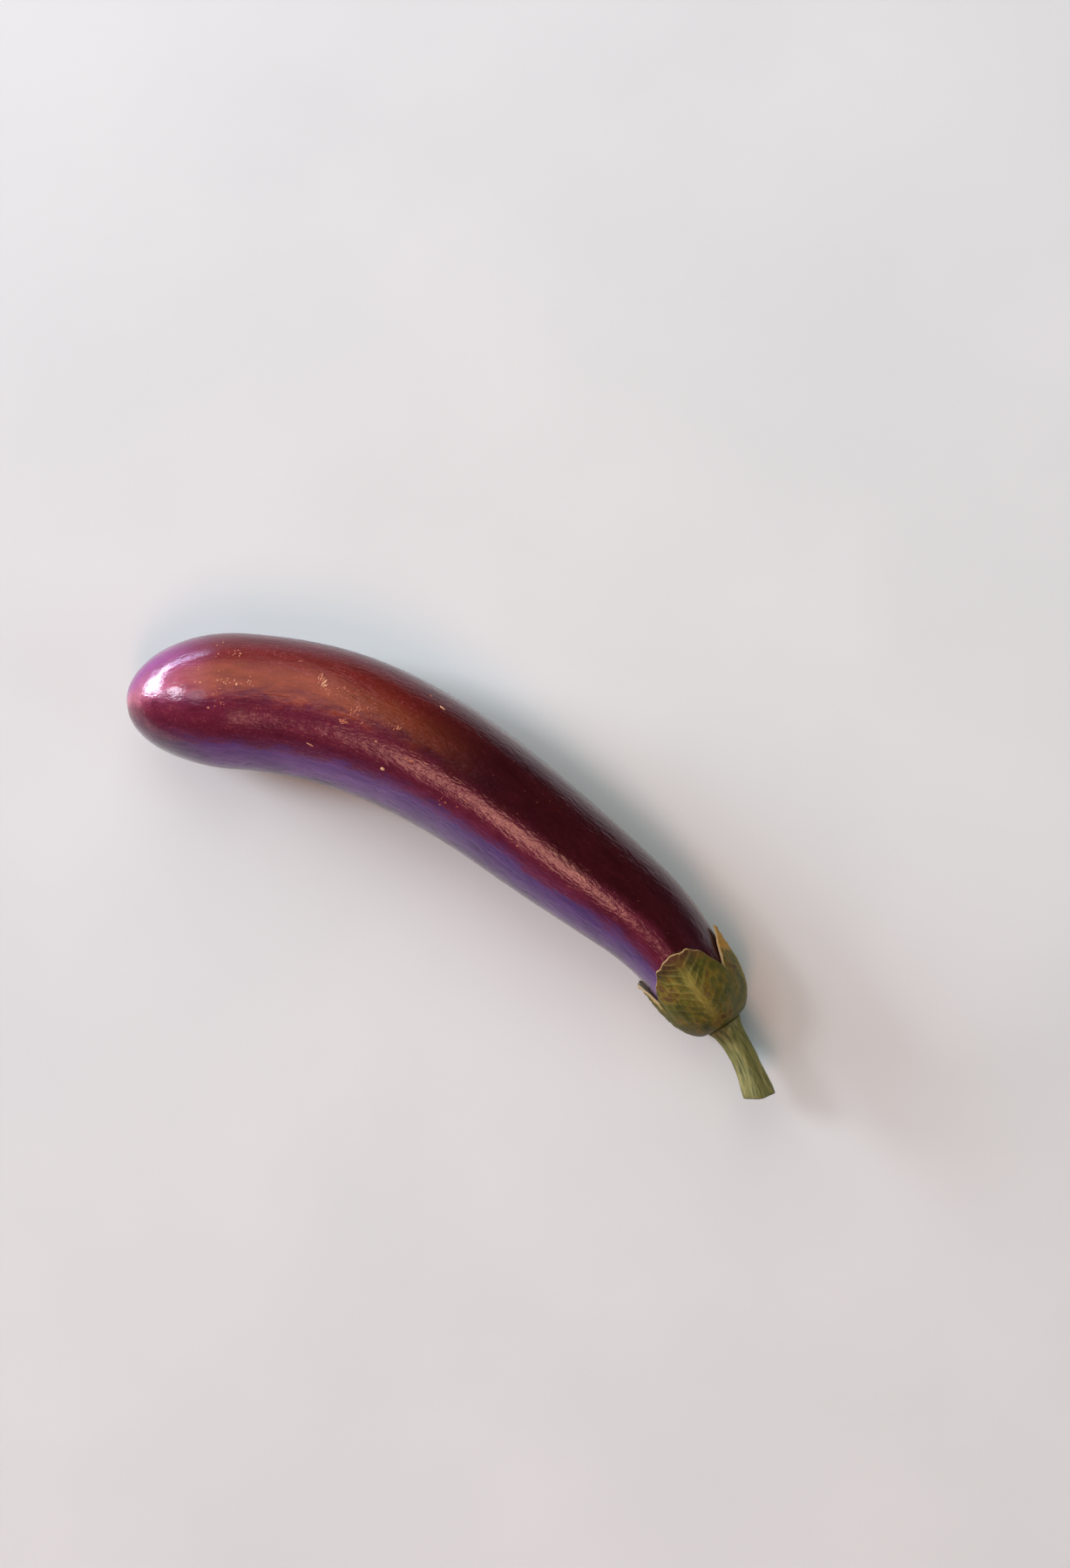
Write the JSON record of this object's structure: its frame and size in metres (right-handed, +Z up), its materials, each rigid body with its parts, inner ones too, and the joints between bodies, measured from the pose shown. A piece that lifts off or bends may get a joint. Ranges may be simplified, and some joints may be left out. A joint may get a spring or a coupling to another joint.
{
  "type": "eggplant",
  "caption": "Long curved purple eggplant, as picked, lying on its side, with its lobed green-brown calyx and a short cut stem.",
  "frame": {"origin": "on the table, under the middle of the part's outline from above", "axes": "+Z up from the table; +X towards the stem end, along the longest extent; the fruit arches towards +Y"},
  "size_m": [0.227, 0.1633, 0.0478],
  "materials": {
    "skin": "thin waxy vegetable skin, glossy, dark purple",
    "calyx": "leathery dry leaf, olive to brown, matte",
    "stem": "woody green stalk, matte, paler where it was cut"
  },
  "bodies": {
    "root": {"fruit": "skin", "calyx": "calyx", "stem": "stem"}
  },
  "joints": []
}
